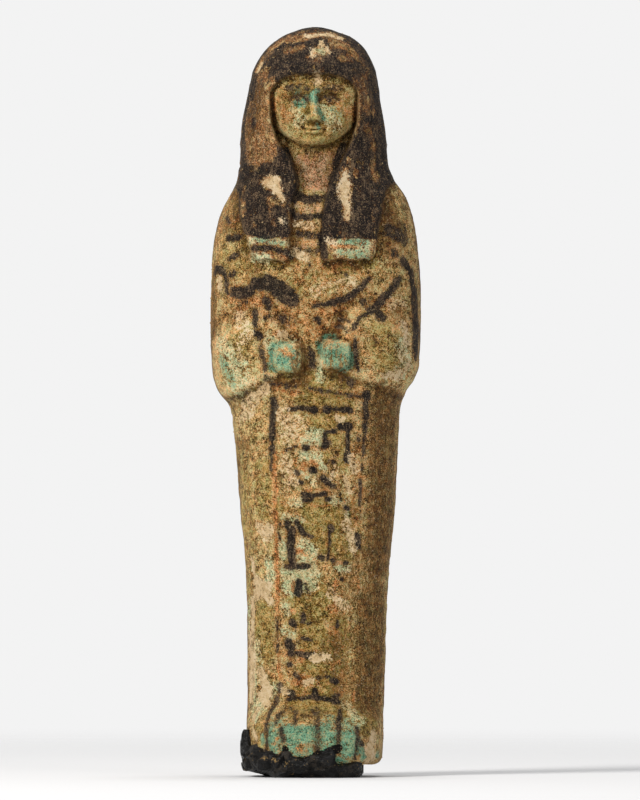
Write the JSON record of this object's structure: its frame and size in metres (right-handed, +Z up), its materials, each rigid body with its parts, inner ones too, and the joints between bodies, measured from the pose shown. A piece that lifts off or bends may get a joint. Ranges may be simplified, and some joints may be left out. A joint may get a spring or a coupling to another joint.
{
  "type": "ushabti",
  "caption": "Small standing funerary figure of glazed faience: wrapped body, three-part wig, folded arms and a painted text column, on a broken bed of black resin.",
  "frame": {"origin": "on the flat underside of the resin, below the figure's centre line", "axes": "+Z up along the figure, -Y out of its face, +X to the right of someone who looks at its face"},
  "size_m": [0.0379, 0.0286, 0.135],
  "materials": {
    "faience": "worn olive and turquoise glaze over a pale tan body, flaked, stained brown, with brush lines in black",
    "resin": "aged black resin, satin on its broken faces"
  },
  "bodies": {
    "root": {"figure": "faience", "resin_bed": "resin"}
  },
  "joints": []
}
